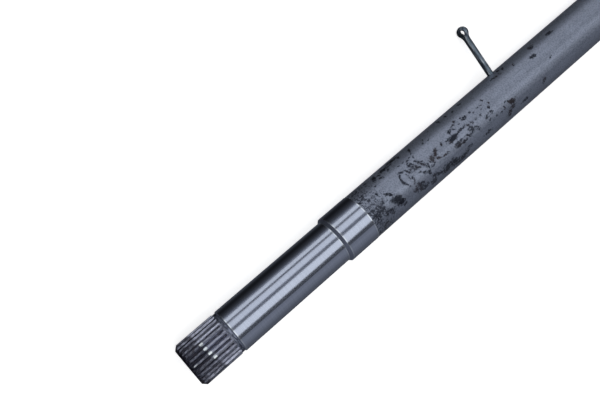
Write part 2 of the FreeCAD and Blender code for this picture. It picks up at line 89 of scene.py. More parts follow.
# Mill scale left on the side that the photo shows. Each stroke: station in mm, degrees about the
# shaft, half length and half width in mm, how far it slants towards more degrees, and how thickly
# the scale lies.
SCALE_STROKES = [
    (24.8, 34, 1.5, 0.9, 60, 1.0), (28.6, 24, 1.1, 0.7, 20, 1.1), (28.0, 30, 2.4, 0.6, -10, 0.75),
    (30.0, 44, 1.3, 0.9, 50, 0.8), (36.8, 45, 1.4, 0.9, -60, 1.0), (34.3, 45, 1.5, 0.6, -30, 0.75),
    (27.5, 66, 1.8, 1.4, 0, 0.95), (24.6, 67, 1.7, 0.9, 90, 0.9), (32.0, 69, 2.8, 1.9, 20, 0.85),
    (35.5, 66, 1.8, 1.2, 0, 0.85), (28.5, 79, 4.2, 2.6, 0, 1.0), (33.5, 78, 3.0, 1.9, 20, 0.85),
    (27.5, 88, 3.0, 1.6, 0, 0.9), (36.5, 90, 3.2, 1.7, 30, 0.85), (38.5, 99, 2.6, 2.0, 50, 0.75),
    (42.8, 62, 3.6, 1.0, 40, 1.15), (45.3, 82, 3.4, 2.6, 30, 1.2), (46.8, 93, 3.2, 2.2, 20, 1.35),
    (49.0, 104, 2.0, 1.5, 60, 0.65), (44.2, 7, 3.4, 1.3, -63, 1.1), (46.8, 19, 1.6, 0.9, 30, 0.9),
    (53.5, 4, 3.6, 1.6, 0, 1.15), (55.3, 15, 1.4, 0.8, -45, 0.85), (62.5, -2, 4.8, 1.6, 0, 1.15),
    (56.4, 46, 2.1, 0.7, -50, 0.95), (55.1, 57, 2.8, 0.9, -78, 1.05), (55.3, 66, 1.9, 0.9, 60, 1.0),
    (56.8, 74, 1.9, 0.6, 60, 0.85), (59.0, 43, 1.4, 0.9, 0, 1.0), (61.2, 44, 1.5, 0.6, 15, 0.85),
    (62.6, 52, 2.4, 0.8, 60, 0.95), (61.6, 68, 1.4, 0.8, 0, 0.85), (62.0, 76, 2.5, 0.6, -55, 0.7),
    (67.5, 55, 3.4, 1.8, 20, 0.95), (66.3, 35, 1.6, 0.6, -60, 0.85), (68.2, 31, 1.2, 0.9, 0, 0.85),
    (67.4, 43, 1.4, 1.1, 90, 0.85), (71.8, 49, 2.8, 0.8, 60, 0.95), (73.8, 62, 3.0, 1.0, 65, 1.0),
    (69.8, 60, 1.6, 0.8, 20, 0.9), (75.2, 72, 2.3, 1.0, 50, 1.0), (77.4, 77, 1.6, 1.0, 30, 0.9),
    (71.5, 78, 1.8, 0.9, 30, 0.95), (74.0, 84, 1.7, 1.5, 90, 1.0), (60.8, 27, 0.9, 0.6, 0, 0.95),
    (70.4, 28, 0.8, 0.7, 0, 0.95), (65.2, 27, 1.1, 0.5, 0, 0.8), (75.2, 11, 2.3, 0.8, -60, 1.0),
    (86.7, 14, 1.0, 0.7, 0, 1.0), (84.9, 22, 1.1, 0.6, 0, 0.9), (88.7, 26, 1.1, 0.6, -40, 0.85),
    (80.3, 65, 2.6, 1.2, 80, 0.95), (84.8, 60, 3.4, 1.2, -47, 1.15), (84.5, 73, 2.2, 0.9, 30, 0.95),
    (89.0, 77, 4.2, 0.7, 5, 0.95), (64.5, 93, 3.8, 2.0, 20, 0.78), (66.0, 104, 4.4, 2.2, 0, 0.72),
    (74.5, 112, 3.0, 2.4, 20, 0.75), (78.0, 101, 3.5, 1.5, 20, 0.65), (87.0, 109, 4.4, 3.0, 0, 0.9),
    (93.0, 108, 4.8, 2.8, 20, 0.95), (98.0, 116, 6.5, 2.4, 8, 1.0), (92.0, 54, 1.2, 0.9, -45, 1.0),
    (102.2, 45, 1.8, 1.0, -50, 1.1), (104.0, 43, 1.5, 0.6, 0, 0.95), (105.6, 46, 1.6, 0.6, 40, 0.9),
    (101.3, 61, 3.7, 1.7, 0, 1.3), (96.8, 56, 1.7, 0.7, -20, 1.0), (106.5, 59, 3.4, 0.9, -8, 1.2),
    (111.2, 57, 2.8, 0.7, -5, 1.15), (103.0, 76, 4.2, 1.0, 0, 0.88), (101.8, 82, 2.8, 1.3, 10, 1.15),
    (106.8, 84, 2.4, 0.9, 0, 1.2), (111.4, 79, 2.2, 0.9, 40, 1.0), (113.2, 81, 1.6, 1.1, -30, 1.05),
    (116.3, 72, 2.4, 2.0, 60, 0.9), (119.0, 77, 1.9, 1.6, 40, 0.72), (117.2, 42, 2.2, 1.1, 0, 1.3),
    (110.5, 33, 1.1, 0.9, -20, 0.95), (107.6, 38, 1.7, 0.6, 0, 1.0), (115.0, 36, 1.0, 0.5, 0, 1.05),
    (111.2, 46, 0.8, 0.6, 0, 0.9), (122.8, 41, 1.2, 0.6, 30, 0.85), (135.4, 38, 0.9, 0.7, 0, 1.1),
    (137.6, 52, 0.9, 0.6, 45, 1.0), (135.5, 60, 1.1, 0.9, 20, 1.2), (130.1, 53, 0.8, 0.6, 0, 0.9),
    (127.5, 61, 0.9, 0.5, -45, 0.85), (130.5, 74, 2.7, 1.2, -10, 0.8), (135.0, 73, 1.3, 1.2, 40, 0.9),
    (120.7, 86, 1.2, 0.8, 20, 1.1), (137.3, 88, 1.0, 0.8, 0, 0.9), (141.4, 90, 1.2, 0.7, 0, 1.0),
    (145.0, 86, 1.8, 0.8, 75, 0.85), (147.0, 76, 0.9, 0.7, -20, 1.0), (152.3, 86, 2.6, 1.7, 20, 1.35),
    (150.2, 80, 1.3, 0.7, 30, 1.0), (148.2, 107, 3.0, 1.8, -65, 0.95), (155.3, 11, 2.2, 0.8, 10, 1.1),
    (161.7, 14, 1.3, 0.8, -70, 0.9), (173.2, 20, 1.6, 0.7, -45, 0.95), (187.2, 38, 2.7, 1.3, 5, 1.1),
    (193.5, 14, 2.6, 1.7, -20, 0.85), (196.5, 66, 1.6, 1.2, -20, 0.8), (211.5, 17, 3.2, 1.4, 0, 0.95),
    (31.6, 114, 3.4, 1.0, 0, 0.75), (25.4, 15, 0.7, 0.6, 0, 0.85), (25.8, 54, 1.1, 0.7, 0, 0.8),
    (34.5, 95, 1.1, 1.0, 60, 0.9), (42.5, 78, 2.6, 1.2, 0, 0.9), (48.7, 23, 0.7, 0.6, 0, 0.8),
    (66.5, 5, 1.3, 0.9, 30, 0.8), (73.4, 22, 1.0, 0.5, -30, 0.8), (72.5, 34, 1.3, 0.5, -70, 0.75),
    (40.2, 27, 0.8, 0.7, 45, 0.95), (81.5, 105, 1.7, 1.1, 60, 0.85), (104.0, 113, 3.6, 1.8, 0, 0.85),
    (98.8, 65, 1.6, 0.7, 0, 1.0), (115.0, 78, 1.0, 1.0, 0, 1.0), (115.3, 61, 1.3, 0.6, 30, 0.9),
    (124.7, 47, 0.8, 0.6, 0, 0.9), (129.0, 45, 0.8, 0.6, 0, 0.9), (132.0, 46, 0.8, 0.6, 0, 0.9),
    (122.7, 62, 1.1, 0.6, 0, 0.9), (131.3, 86, 1.0, 0.9, 0, 0.85), (127.2, 105, 1.1, 0.8, 45, 0.9),
    (152.0, 99, 2.3, 1.6, 0, 0.72), (105.0, 1, 1.9, 0.9, 90, 0.85), (111.5, 2, 1.7, 0.8, 90, 0.95),
    (158.4, 13, 1.0, 0.7, 0, 1.05), (156.3, 85, 0.9, 0.7, 0, 0.9), (164.0, 0, 1.4, 0.9, -20, 0.9),
    (167.2, 5, 1.8, 1.0, -45, 0.75), (163.5, 110, 3.4, 1.2, 0, 0.9), (183.0, 102, 2.4, 1.6, -40, 0.75),
    (60.6, 56, 1.1, 0.6, 70, 0.95), (60.4, 64, 1.2, 0.5, -60, 0.85), (66.8, 46, 3.0, 1.3, 30, 0.85),
    (74.0, 54, 1.0, 0.6, 0, 0.85), (79.0, 68, 2.2, 1.0, 30, 0.8), (82.3, 64, 1.6, 1.3, 0, 0.85),
    (76.0, 66, 1.0, 0.6, 45, 0.9), (80.0, 76, 1.6, 0.7, -20, 0.85), (68.5, 70, 1.2, 0.7, 0, 0.7),
    (100.5, 55, 1.0, 0.6, 0, 0.9), (118.6, 62, 1.4, 0.8, 60, 0.85), (114.0, 68, 1.2, 0.6, -30, 0.8),
    (120.5, 80, 1.0, 0.6, 0, 0.85), (108.5, 104, 3.0, 1.3, 0, 0.75), (126.0, 110, 4.0, 1.0, 0, 0.8),
    (28.5, 3, 2.2, 1.0, 0, 0.85), (33.5, -1, 1.7, 0.9, 0, 0.8), (39.0, 1, 2.2, 0.8, 0, 0.8),
    (31.0, 58, 1.2, 0.7, 40, 0.8), (29.5, 37, 1.0, 0.6, -30, 0.85), (33.0, 51, 1.0, 0.6, 0, 0.8),
    (60.5, 97, 2.8, 2.1, 0, 0.62), (48.2, 9, 1.6, 0.8, 30, 0.85), (58.5, 6, 1.8, 0.9, 0, 0.8),
    (94.5, 3, 1.2, 0.8, 0, 0.8), (117.0, 8, 1.5, 0.8, 0, 0.8), (125.0, 2, 1.6, 0.9, 0, 0.8),
]

# The side that the photo shows lies about here, in degrees about the shaft.
SEEN_SIDE = 60.0

# Bright nicks that cross the crests in a slanted row: station in mm, degrees about the shaft, and
# how steeply the struck facet leans towards fewer degrees. One near the end is only a place.
CREST_NICKS = [(-102.95, 38.7, 2.0), (-102.7, 53.1, 0.5), (-102.15, 67.5, -0.3), (-101.15, 81.9, 3.2)]
END_NICK = (-112.9, 67.5)

# The slanted line past which the teeth are lighter, and darker towards the splined end, runs through
# the second of the crest nicks, this many mm further along for each degree about the shaft.
DARK_END_SLANT = 0.043

# Millimetres that a bump height of one stands for on the shaft.
BUMP_DEPTH = 0.1

# Wear has rounded the flanks of the teeth, which turns their sheen outwards: bump height for each
# mm below the crests.
FLANK_WEAR = 7.0

# Brightness that the glossy steel sees round the studio: degrees about X and brightness.
CLOTH = [(-30, 0.02), (8, 0.02), (20, 0.13), (62, 0.18), (74, 0.03), (100, 0.03), (112, 0.08),
         (124, 0.21), (140, 0.27), (156, 0.22), (180, 0.15), (210, 0.13)]

# Brightness of the table beside the shaft, on the pin's side: distance from the axis in metres.
TABLE = [(0.014, 0.09), (0.024, 0.02), (0.03, 0.01), (0.036, 0.014), (0.05, 0.03),
         (0.085, 0.07), (0.21, 0.2), (0.6, 0.3)]
OTHER_TABLE = [(0.03, 0.1), (0.15, 0.13)]

# Light panels: degrees about X where each begins and ends, and brightness.
PANELS = [
    ("panel_low", 0.4, 17.6, 0.8),
    ("panel_front", 27.2, 52.4, 0.7),
    ("panel_top", 67.6, 100.8, 0.93),
]
PANEL_TINT = (0.98, 1.0, 1.03)
SHADE_TINT = (0.92, 0.97, 1.11)
CLOTH_RADIUS = 2.2
CLOTH_HALF_LENGTH = 4.0
CARD_LIFT = 0.0002
FLOOR_WHITENESS = 0.8
FLOOR_GLOW = 0.7
DIM_SKY = 0.3

# The camera: the station that it is aimed at, how far it stands left of that and further up the
# picture, all in millimetres, and how far it tips back.
AIMED_AT = 1.44
STANDS_LEFT = 0.65
STANDS_UP = 33.7
TIPS_BACK = math.radians(0.292)


def linear(code):
    """An sRGB hex colour as linear red, green and blue."""
    channels = [int(code[i:i + 2], 16) / 255 for i in (1, 3, 5)]
    return tuple(c / 12.92 if c <= 0.04045 else ((c + 0.055) / 1.055) ** 2.4 for c in channels)


def colour_property(name, description, code):
    """A colour that a user may change, given as sRGB hex."""
    return bpy.props.FloatVectorProperty(
        name=name, description=description, subtype="COLOR", size=3, min=0, max=1,
        default=linear(code))


class AxleFinish(bpy.types.PropertyGroup):
    """Colours and grain of the steel."""

    ground: colour_property("Ground steel", "Journal and band, cylindrically ground", "#C3CADA")
    bar: colour_property("Rolled steel", "Bar left as rolled, scale worn off", "#ACB4C6")
    scale: colour_property("Mill scale", "Patches of scale left on the bar", "#242832")
    crest: colour_property("Tooth crests", "Dulled tops of the spline teeth", "#BCC0D0")
    flank: colour_property("Tooth flanks", "Milled sides of the spline teeth", "#D6DAEC")
    # Old oil and painted shade: the dark colour of the tooth roots and the relief, also used for
    # darker streaks and the darker end of the teeth.
    space: colour_property("Tooth roots", "Roots of the tooth spaces under old oil", "#2C2E3A")
    grime: colour_property("Grime", "Brown oil and rust between the outer teeth", "#4C3F3A")
    # Fresh metal of the nicks, also used as a painted highlight on the rims of the ground steel.
    bright_metal: colour_property("Nicks", "Fresh metal where a crest was struck", "#F4FAFC")
    turned: colour_property("Turned steel", "Cone, relief and end faces", "#A4ABBD")
    zinc: colour_property("Dull zinc", "Half-round wire of the split pin", "#7F8C98")
    ground_roughness: bpy.props.FloatProperty(
        name="Ground roughness", description="Roughness of the ground steel",
        default=0.17, min=0, max=1, subtype="FACTOR")
    bar_roughness: bpy.props.FloatProperty(
        name="Rolled roughness", description="Roughness of the bare bar",
        default=0.42, min=0, max=1, subtype="FACTOR")
    grinding_mark: bpy.props.FloatProperty(
        name="Grinding mark", description="Spacing of the marks that the wheel left",
        default=0.0007, min=0.0001, unit="LENGTH")
    scale_grain: bpy.props.FloatProperty(
        name="Scale grain", description="Size of one fleck of mill scale",
        default=0.0013, min=0.0002, unit="LENGTH")


class AxleStudio(bpy.types.PropertyGroup):
    """Camera, panels and floor."""

    lens: bpy.props.FloatProperty(
        name="Lens", description="Focal length in millimetres", default=42, min=10, max=300)
    distance: bpy.props.FloatProperty(
        name="Distance", description="Camera to the plane through its target",
        default=0.4416, min=0.1, unit="LENGTH")
    around: bpy.props.FloatProperty(
        name="Around the shaft", description="Camera's direction about X, from +Y towards +Z",
        default=math.radians(64.4), subtype="ANGLE")
    recede: bpy.props.FloatProperty(
        name="Recede", description="How far the shaft runs away from the camera",
        default=math.radians(15), subtype="ANGLE")
    roll: bpy.props.FloatProperty(
        name="Roll", description="How far the shaft climbs in the picture",
        default=math.radians(39.9), subtype="ANGLE")
    panel_distance: bpy.props.FloatProperty(
        name="Panel distance", description="Shaft to the light panels",
        default=1.2, min=0.3, unit="LENGTH")
    panel_length: bpy.props.FloatProperty(
        name="Panel length", description="Light panels along the shaft",
        default=3.0, min=0.3, unit="LENGTH")
    panel_middle: bpy.props.FloatProperty(
        name="Panel middle", description="Middle of the panels along the shaft",
        default=0.6, unit="LENGTH")
    floor_size: bpy.props.FloatProperty(
        name="Floor size", description="Side of the square floor", default=6, unit="LENGTH")


def add(tree, kind, inputs=None, **settings):
    """A node with its settings. Each input is a value or another node's output."""
    node = tree.nodes.new(kind)
    for name, value in settings.items():
        setattr(node, name, value)
    for socket, value in (inputs or {}).items():
        if isinstance(value, bpy.types.NodeSocket):
            tree.links.new(value, node.inputs[socket])
        else:
            node.inputs[socket].default_value = value
    return node


def compute(tree, operation, *values):
    """The result of a sum on numbers or outputs."""
    return add(tree, "ShaderNodeMath", dict(enumerate(values)), operation=operation).outputs[0]


def fade(tree, value, start, end, low=0.0, high=1.0):
    """Runs smoothly from low to high while the value runs from start to end."""
    return add(tree, "ShaderNodeMapRange", {
        "Value": value, "From Min": start, "From Max": end, "To Min": low, "To Max": high,
    }, interpolation_type="SMOOTHSTEP").outputs["Result"]


def blend_colour(tree, share, first, second):
    """A colour or output that goes from first to second."""
    node = add(tree, "ShaderNodeMix", {"Factor": share}, data_type="RGBA")
    for socket, value in zip([s for s in node.inputs if s.type == "RGBA"], (first, second)):
        if isinstance(value, bpy.types.NodeSocket):
            tree.links.new(value, socket)
        else:
            socket.default_value = (*value, 1)
    return next(s for s in node.outputs if s.type == "RGBA")


def blend_number(tree, share, first, second):
    """A number or output that goes from first to second."""
    return add(tree, "ShaderNodeMapRange", {
        "Value": share, "From Min": 0.0, "From Max": 1.0, "To Min": first, "To Max": second,
    }).outputs["Result"]


def ramp(tree, value, stops):
    """Smooth steps through the stops, each a value and what it gives."""
    level = stops[0][1]
    for (start, before), (end, after) in zip(stops, stops[1:]):
        level = compute(tree, "ADD", level,
                        fade(tree, value, float(start), float(end), 0.0, after - before))
    return level


def grain(tree, millimetres, stretch, size, detail=3.0, roughness=0.5):
    """Noise whose grains have that size in mm, pulled out along the axes by the stretch."""
    scaled = add(tree, "ShaderNodeVectorMath", {
        0: millimetres, 1: tuple(1 / s for s in stretch)}, operation="MULTIPLY")
    return add(tree, "ShaderNodeTexNoise", {
        "Vector": scaled.outputs[0], "Scale": 1 / size, "Detail": detail, "Roughness": roughness,
    }).outputs["Fac"]


def new_material(name):
    """An empty material with its surface shader and the real part's millimetres."""
    material = bpy.data.materials.new(name)
    material.use_nodes = True
    tree = material.node_tree
    tree.nodes.clear()
    shader = add(tree, "ShaderNodeBsdfPrincipled")
    add(tree, "ShaderNodeOutputMaterial", {"Surface": shader.outputs[0]})
    place = add(tree, "ShaderNodeTexCoord").outputs["Object"]
    millimetres = add(tree, "ShaderNodeVectorMath", {0: place, "Scale": 1 / MM},
                      operation="SCALE").outputs[0]
    return material, tree, shader, millimetres


def mill_scale(tree, station, turn, millimetres):
    """How thickly mill scale lies: strokes on the seen side, specks by the band, chance behind."""
    wander = add(tree, "ShaderNodeTexNoise", {"Vector": millimetres, "Scale": 0.7, "Detail": 3.0,
                                              "Roughness": 0.6}).outputs["Color"]
    pushed = add(tree, "ShaderNodeSeparateXYZ", {0: wander})
    along = compute(tree, "MULTIPLY_ADD", pushed.outputs["X"], 3.0, station)
    arc = compute(tree, "MULTIPLY", turn, math.radians(BAND_RADIUS))
    arc = compute(tree, "MULTIPLY_ADD", pushed.outputs["Y"], 3.0, arc)
    thickest = 0.0
    for x, degrees, half_length, half_width, slant, weight in SCALE_STROKES:
        # What has been found so far rides along as Z, flattened away, so that Cycles works the
        # strokes out one after another and never holds more than one in its small stack.
        place = add(tree, "ShaderNodeCombineXYZ", {"X": along, "Y": arc, "Z": thickest}).outputs[0]
        middle = (x + 1.5, math.radians(degrees) * BAND_RADIUS + 1.5, 0)
        inside = add(tree, "ShaderNodeMapping", {
            "Vector": place, "Location": middle, "Rotation": (0, 0, math.radians(slant)),
            "Scale": (half_length, half_width, 1e6)}, vector_type="TEXTURE").outputs[0]
        out = add(tree, "ShaderNodeVectorMath", {0: inside}, operation="LENGTH").outputs["Value"]
        thickest = compute(tree, "MAXIMUM", thickest, fade(tree, out, 0.4, 1.6, weight, 0.0))
    from_seen = compute(tree, "ABSOLUTE", compute(tree, "SUBTRACT", turn, SEEN_SIDE))
    clouds = grain(tree, millimetres, (1.6, 1, 1), 11.0, detail=2)
    behind = compute(tree, "MULTIPLY", fade(tree, from_seen, 75, 95),
                     fade(tree, clouds, 0.48, 0.62))
    behind = compute(tree, "MULTIPLY", behind, fade(tree, station, 90, 200, 1.0, 0.75))
    by_band = fade(tree, station, 27, 50, 0.34, 0.0)
    return compute(tree, "MAXIMUM", compute(tree, "MAXIMUM", thickest, behind), by_band)


def rolled_bar(tree, finish, millimetres, station, turn):
    """Hot rolled steel, scale mostly worn off.

    The eye sees a satin grey, faintly streaked along the bar, with ragged patches of duller, darker
    scale, some of them brown. A weak stain goes a little further than each patch.
    """
    streaks = grain(tree, millimetres, (30, 1, 1), 0.9, detail=4)
    cloud = grain(tree, millimetres, (2, 1, 1), 9.0, detail=2)
    flecks = grain(tree, millimetres, (1, 1, 1), finish.scale_grain / MM,
                   detail=4, roughness=0.72)
    fine = grain(tree, millimetres, (1, 1, 1), 0.9, detail=3, roughness=0.7)
    field = mill_scale(tree, station, turn, millimetres)
    ragged = compute(tree, "MULTIPLY_ADD", compute(tree, "MINIMUM", field, 1.0), 0.45, 0.42)
    level = compute(tree, "MULTIPLY_ADD", fade(tree, flecks, 0.34, 0.66, -1.0, 1.0), ragged, field)
    covered = fade(tree, level, 0.38, 0.56)
    stained = compute(tree, "MULTIPLY", fade(tree, field, 0.05, 0.9, 0.0, 0.5),
                      fade(tree, fine, 0.3, 0.6))
    depth = fade(tree, field, 0.3, 1.3, 0.68, 0.94)
    browned = blend_colour(tree, fade(tree, cloud, 0.5, 0.66, 0.0, 0.4), finish.scale, finish.grime)
    tone = blend_colour(tree, fade(tree, streaks, 0.3, 0.7), tuple(c * 0.94 for c in finish.bar),
                        finish.bar)
    tone = blend_colour(tree, fade(tree, cloud, 0.35, 0.65, 0.0, 0.1), tone, finish.scale)
    tone = blend_colour(tree, fade(tree, fine, 0.44, 0.62, 0.0, 0.34), tone, finish.scale)
    # Darker towards the top of the bar and beyond it, by the angle about the shaft.
    darker_over_top = compute(tree, "ADD", fade(tree, turn, 20, 55, 0.0, 0.12),
                   fade(tree, turn, 90, 112, 0.0, 0.06))
    tone = blend_colour(tree, darker_over_top, tone, finish.scale)
    tone = blend_colour(tree, stained, tone, browned)
    tone = blend_colour(tree, compute(tree, "MULTIPLY", covered, depth), tone, browned)
    rough = blend_number(tree, covered, finish.bar_roughness, 0.5)
    height = compute(tree, "ADD", compute(tree, "MULTIPLY", covered, 0.6),
                     compute(tree, "MULTIPLY", streaks, 0.25))
    return tone, rough, height


def ground_steel(tree, finish, millimetres, station):
    """Cylindrically ground steel.

    The eye sees the lights as long bright stripes with soft edges, and a painted highlight along the
    rims. The marks of the wheel run round the shaft. They are far finer on the real one, and are drawn
    this coarse so that they show.
    """
    marks = grain(tree, millimetres, (1, 40, 40), finish.grinding_mark / MM, detail=3)
    broad = grain(tree, millimetres, (1, 40, 40), 4.0, detail=2)
    tone = blend_colour(tree, fade(tree, marks, 0.25, 0.75), tuple(c * 0.95 for c in finish.ground),
                        finish.ground)
    tone = blend_colour(tree, fade(tree, broad, 0.3, 0.7, 0.0, 0.06), tone, finish.turned)
    # Painted highlight: a band along each rim of the ground steel is lightened towards bright metal.
    rim_highlight = 0.0
    for edge, inward in ((JOURNAL_START, 1), (0.0, -1), (BAND_START, 1), (BAND_END, -1)):
        rim_highlight = compute(tree, "MAXIMUM", rim_highlight,
                      compute(tree, "MULTIPLY",
                              fade(tree, station, edge - 0.1 * inward, edge + 0.1 * inward),
                              fade(tree, station, edge + 0.9 * inward, edge + 0.4 * inward)))
    tone = blend_colour(tree, compute(tree, "MULTIPLY", rim_highlight, 0.6), tone, finish.bright_metal)
    rough = fade(tree, marks, 0.3, 0.7, finish.ground_roughness * 1.06,
                 finish.ground_roughness * 0.94)
    return tone, rough, compute(tree, "MULTIPLY", marks, 0.012)


def near(tree, station, arc, spot, half_length, half_width):
    """One inside a small oval about a spot on the crests, and nothing outside."""
    place = add(tree, "ShaderNodeCombineXYZ", {"X": station, "Y": arc}).outputs[0]
    inside = add(tree, "ShaderNodeMapping", {
        "Vector": place, "Location": (spot[0], math.radians(spot[1]) * CREST_RADIUS, 0),
        "Scale": (half_length, half_width, 1)}, vector_type="TEXTURE").outputs[0]
    out = add(tree, "ShaderNodeVectorMath", {0: inside}, operation="LENGTH").outputs["Value"]
    return fade(tree, out, 1.1, 0.75)


def tooth_steel(tree, finish, millimetres, station, turn, radius):
    """Milled teeth under old oil.

    The eye sees bright streaky flanks, duller crests, roots dark with old oil and painted shade,
    all much darker towards the splined end of a slanted line, and fresh metal where crests were
    struck.
    """
    arc = compute(tree, "MULTIPLY", turn, math.radians(CREST_RADIUS))
    streaks = grain(tree, millimetres, (4, 1, 1), 0.6, detail=4, roughness=0.75)
    dirt = grain(tree, millimetres, (2, 1, 1), 1.3, detail=5, roughness=0.7)
    line = compute(tree, "MULTIPLY_ADD", turn, DARK_END_SLANT,
                   CREST_NICKS[1][0] - DARK_END_SLANT * CREST_NICKS[1][1])
    past_line = compute(tree, "SUBTRACT", station, line)
    lighter_share = fade(tree, past_line, -1.5, 1.5)
    lip = fade(tree, station, SPLINED_FACE + 1.0, SPLINED_FACE + 7.0)
    lighter_share = compute(tree, "MAXIMUM", lighter_share, compute(tree, "MULTIPLY", lip, 0.35))
    on_flank = fade(tree, radius, ROOT_RADIUS + 0.2, ROOT_RADIUS + 0.75)
    on_crest = fade(tree, radius, CREST_RADIUS - 0.12, CREST_RADIUS - 0.03)
    dull = fade(tree, dirt, 0.36, 0.6)
    metal = blend_colour(tree, on_crest, finish.flank, finish.crest)
    metal = blend_colour(tree, fade(tree, streaks, 0.42, 0.64, 0.0, 0.6), metal, finish.space)
    # Old oil and painted shade: below the flanks, the roots go to the dark root colour.
    roots = blend_colour(tree, fade(tree, streaks, 0.4, 0.7, 0.0, 0.3), finish.space, finish.flank)
    tone = blend_colour(tree, on_flank, roots, metal)
    dirty = compute(tree, "MULTIPLY", dull, blend_number(tree, lighter_share, 1.0, 0.25))
    soil = blend_colour(tree, fade(tree, streaks, 0.4, 0.6), finish.space, finish.grime)
    tone = blend_colour(tree, dirty, tone, soil)
    # Towards the splined end of the slanted line the teeth are darkened, less so close to the splined
    # face.
    tone = blend_colour(tree, blend_number(tree, lighter_share, 0.62, 0.0), tone, finish.space)
    rough = blend_number(tree, dirty, 0.3, 0.55)
    struck = compute(tree, "MULTIPLY", near(tree, station, arc, END_NICK, 1.5, 0.35), 0.6)
    facets = 0.0
    for x, degrees, lean in CREST_NICKS:
        share = near(tree, station, arc, (x, degrees), 1.3, 1.5)
        struck = compute(tree, "MAXIMUM", struck, share)
        across = compute(tree, "SUBTRACT", arc, math.radians(degrees) * CREST_RADIUS)
        facets = compute(tree, "MULTIPLY_ADD", compute(tree, "MULTIPLY", across, share), lean, facets)
    struck = compute(tree, "MULTIPLY", struck, fade(tree, radius, CREST_RADIUS - 1.1,
                                                    CREST_RADIUS - 0.6))
    tone = blend_colour(tree, struck, tone, finish.bright_metal)
    rough = blend_number(tree, struck, rough, 0.3)
    height = compute(tree, "MULTIPLY_ADD", streaks, 0.5, facets)
    not_below_root = compute(tree, "MAXIMUM", radius, ROOT_RADIUS)
    below_crest = compute(tree, "SUBTRACT", CREST_RADIUS, not_below_root)
    height = compute(tree, "MULTIPLY_ADD", below_crest, FLANK_WEAR, height)
    return tone, rough, height


def shaft_steel(finish):
    """Medium carbon steel with its finishes, told apart by station and radius."""
    material, tree, shader, millimetres = new_material("shaft_steel_ground_and_rolled")
    along = add(tree, "ShaderNodeSeparateXYZ", {0: millimetres})
    station = along.outputs["X"]
    across = add(tree, "ShaderNodeVectorMath", {0: millimetres, 1: (0, 1, 1)},
                 operation="MULTIPLY")
    radius = add(tree, "ShaderNodeVectorMath", {0: across.outputs[0]},
                 operation="LENGTH").outputs["Value"]
    turn = compute(tree, "DEGREES",
                   compute(tree, "ARCTAN2", along.outputs["Z"], along.outputs["Y"]))

    bar_tone, bar_rough, bar_height = rolled_bar(tree, finish, millimetres, station, turn)
    ground_tone, ground_rough, ground_height = ground_steel(tree, finish, millimetres, station)
    tooth_tone, tooth_rough, tooth_height = tooth_steel(
        tree, finish, millimetres, station, turn, radius)

    rolled = fade(tree, station, BAND_END - 0.05, BAND_END + 0.05)
    tone = blend_colour(tree, rolled, ground_tone, bar_tone)
    rough = blend_number(tree, rolled, ground_rough, bar_rough)
    height = blend_number(tree, rolled, ground_height, bar_height)

    cone = compute(tree, "MULTIPLY", fade(tree, station, -0.25, 0.1),
                   fade(tree, station, BAND_START + 0.2, BAND_START - 0.15))
    tone = blend_colour(tree, cone, tone, finish.turned)
    rough = blend_number(tree, cone, rough, 0.45)

    toothed = fade(tree, station, TEETH_END + 0.1, TEETH_END - 0.1)
    tone = blend_colour(tree, toothed, tone, tooth_tone)
    rough = blend_number(tree, toothed, rough, tooth_rough)
    height = blend_number(tree, toothed, height, tooth_height)
    # Painted shade in the relief between the teeth and the journal: the dark root colour, broken up by
    # noise towards turned steel, with the chamfer in bar colour.
    relief = compute(tree, "MULTIPLY", fade(tree, station, TEETH_END - 0.3, TEETH_END + 0.1),
                     fade(tree, station, JOURNAL_START + 0.1, JOURNAL_START - 0.1))
    soil_and_shade = grain(tree, millimetres, (1, 3, 3), 0.9, detail=4)
    relief_shade_tone = blend_colour(tree, fade(tree, soil_and_shade, 0.38, 0.62, 0.2, 0.95), finish.space,
                               finish.turned)
    chamfer = fade(tree, station, JOURNAL_START - 0.7, JOURNAL_START - 0.5)
    relief_shade_tone = blend_colour(tree, chamfer, relief_shade_tone, finish.bar)
    tone = blend_colour(tree, relief, tone, relief_shade_tone)
    rough = blend_number(tree, relief, rough, 0.5)

    ends = compute(tree, "MAXIMUM", fade(tree, station, SPLINED_FACE + 0.03, SPLINED_FACE + 0.01),
                   fade(tree, station, FAR_FACE - 1.55, FAR_FACE - 1.45))
    rings = add(tree, "ShaderNodeTexNoise", {"W": radius, "Scale": 3.0, "Detail": 2.0},
                noise_dimensions="1D").outputs["Fac"]
    faced = blend_colour(tree, fade(tree, rings, 0.3, 0.7), finish.turned, finish.bar)
    tone = blend_colour(tree, ends, tone, faced)
    rough = blend_number(tree, ends, rough, 0.33)

    bump = add(tree, "ShaderNodeBump", {
        "Height": height, "Strength": 0.35, "Distance": BUMP_DEPTH * MM})
    # A thin oxide film is left on the rolled bar, so a little of it scatters like paint.
    tree.links.new(blend_number(tree, rolled, 1.0, 0.85), shader.inputs["Metallic"])
    tree.links.new(tone, shader.inputs["Base Color"])
    tree.links.new(rough, shader.inputs["Roughness"])
    tree.links.new(bump.outputs[0], shader.inputs["Normal"])
    return material


